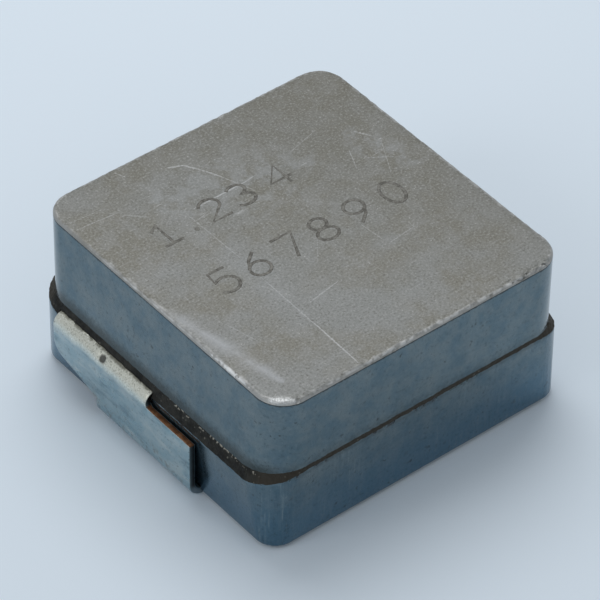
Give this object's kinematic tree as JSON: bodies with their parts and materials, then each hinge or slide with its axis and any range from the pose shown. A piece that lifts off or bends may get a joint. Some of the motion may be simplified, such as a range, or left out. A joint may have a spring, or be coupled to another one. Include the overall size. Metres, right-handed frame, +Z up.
{
  "type": "shielded SMD power inductor",
  "caption": "Moulded shielded power inductor for surface mounting, with a flat-wire coil inside a pressed powder block and two folded tinned terminals",
  "frame": {"origin": "centre of the footprint between the two terminals, on the plane of the solder feet", "axes": "+Z up from the circuit board, +X through the two terminals, +Y along the side to which both tabs are offset"},
  "size_m": [0.0136, 0.0128, 0.0065],
  "materials": {
    "powder_composite": "pressed iron powder composite, fine matte grain on top, die-rubbed satin sides",
    "enamelled_copper": "copper with clear enamel",
    "tinned_copper": "matte tin plating over copper, bare copper on cut edges"
  },
  "bodies": {
    "root": {"moulded_body": "powder_composite", "coil_winding": "enamelled_copper", "terminal_left": "tinned_copper", "terminal_right": "tinned_copper"}
  },
  "joints": []
}
